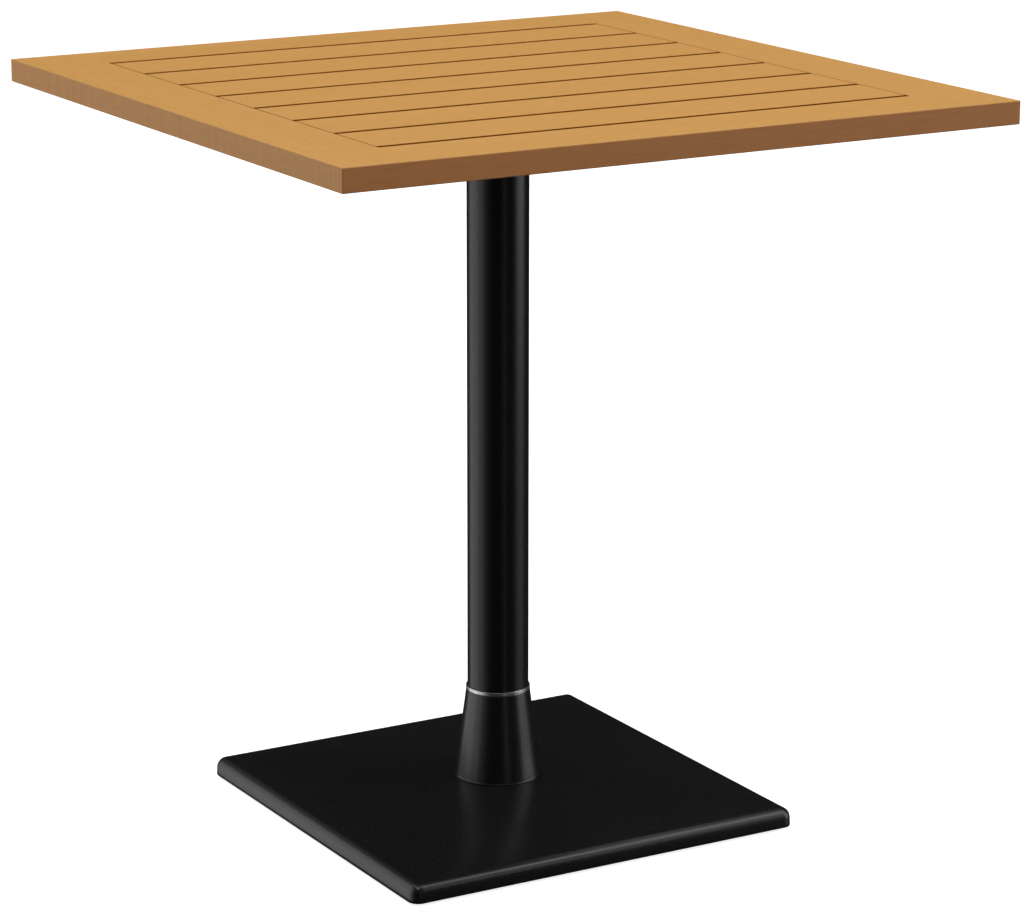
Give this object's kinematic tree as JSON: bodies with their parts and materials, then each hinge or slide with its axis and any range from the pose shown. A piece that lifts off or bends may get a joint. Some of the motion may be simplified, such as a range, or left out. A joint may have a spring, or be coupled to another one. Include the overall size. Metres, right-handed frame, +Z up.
{
  "type": "bistro table",
  "caption": "Square slatted wooden table top on a round black column with a conical collar and a crowned square base on levelling glides.",
  "frame": {"origin": "on the floor, under the centre of the column", "axes": "+Z up, X along the slats, front of the table towards -Y"},
  "size_m": [0.7112, 0.7112, 0.737],
  "materials": {
    "teak": "oiled, satin",
    "column_black": "satin powder coat",
    "base_black": "satin powder coat, fine texture",
    "under_frame_black": "matt powder coat",
    "stainless_ring": "satin",
    "zinc_steel": "zinc plated",
    "cast_ballast": "black primer on rough casting",
    "glide_plastic": "moulded nylon"
  },
  "bodies": {
    "table": {"slat_1": "teak", "slat_2": "teak", "slat_3": "teak", "slat_4": "teak", "slat_5": "teak", "slat_6": "teak", "slat_7": "teak", "front_rail": "teak", "back_rail": "teak", "left_end_board": "teak", "right_end_board": "teak", "left_cross_bar": "under_frame_black", "right_cross_bar": "under_frame_black", "slat_screws": "zinc_steel", "top_spider": "under_frame_black", "spider_bolts": "zinc_steel", "spider_washers": "zinc_steel", "column_tube": "column_black", "tie_rod": "zinc_steel", "upper_nut": "zinc_steel", "upper_washer": "zinc_steel", "lower_nut": "zinc_steel", "lower_washer": "zinc_steel", "base_cover": "base_black", "ballast_plate": "cast_ballast", "base_hub": "cast_ballast", "base_collar": "column_black", "collar_ring": "stainless_ring"},
    "front_left_foot": {"front_left_glide_pad": "glide_plastic"},
    "front_left_stem": {"front_left_glide_stem": "zinc_steel"},
    "front_right_foot": {"front_right_glide_pad": "glide_plastic"},
    "front_right_stem": {"front_right_glide_stem": "zinc_steel"},
    "back_left_foot": {"back_left_glide_pad": "glide_plastic"},
    "back_left_stem": {"back_left_glide_stem": "zinc_steel"},
    "back_right_foot": {"back_right_glide_pad": "glide_plastic"},
    "back_right_stem": {"back_right_glide_stem": "zinc_steel"}
  },
  "joints": [
    {"name": "front_left_level", "type": "slide", "parent": "table", "child": "front_left_foot", "axis": [0, 0, -1], "range_m": [0, 0.006]},
    {"name": "front_left_screw", "type": "hinge", "parent": "front_left_foot", "child": "front_left_stem", "pos_m": [-0.16, -0.16, 0], "axis": [0, 0, -1], "range_deg": [0, 1729]},
    {"name": "front_right_level", "type": "slide", "parent": "table", "child": "front_right_foot", "axis": [0, 0, -1], "range_m": [0, 0.006]},
    {"name": "front_right_screw", "type": "hinge", "parent": "front_right_foot", "child": "front_right_stem", "pos_m": [0.16, -0.16, 0], "axis": [0, 0, -1], "range_deg": [0, 1729]},
    {"name": "back_left_level", "type": "slide", "parent": "table", "child": "back_left_foot", "axis": [0, 0, -1], "range_m": [0, 0.006]},
    {"name": "back_left_screw", "type": "hinge", "parent": "back_left_foot", "child": "back_left_stem", "pos_m": [-0.16, 0.16, 0], "axis": [0, 0, -1], "range_deg": [0, 1729]},
    {"name": "back_right_level", "type": "slide", "parent": "table", "child": "back_right_foot", "axis": [0, 0, -1], "range_m": [0, 0.006]},
    {"name": "back_right_screw", "type": "hinge", "parent": "back_right_foot", "child": "back_right_stem", "pos_m": [0.16, 0.16, 0], "axis": [0, 0, -1], "range_deg": [0, 1729]}
  ],
  "couplings": [
    {"joint": "front_left_screw", "follows": "front_left_level", "rad_per_m": 5026.5},
    {"joint": "front_right_screw", "follows": "front_right_level", "rad_per_m": 5026.5},
    {"joint": "back_left_screw", "follows": "back_left_level", "rad_per_m": 5026.5},
    {"joint": "back_right_screw", "follows": "back_right_level", "rad_per_m": 5026.5}
  ]
}
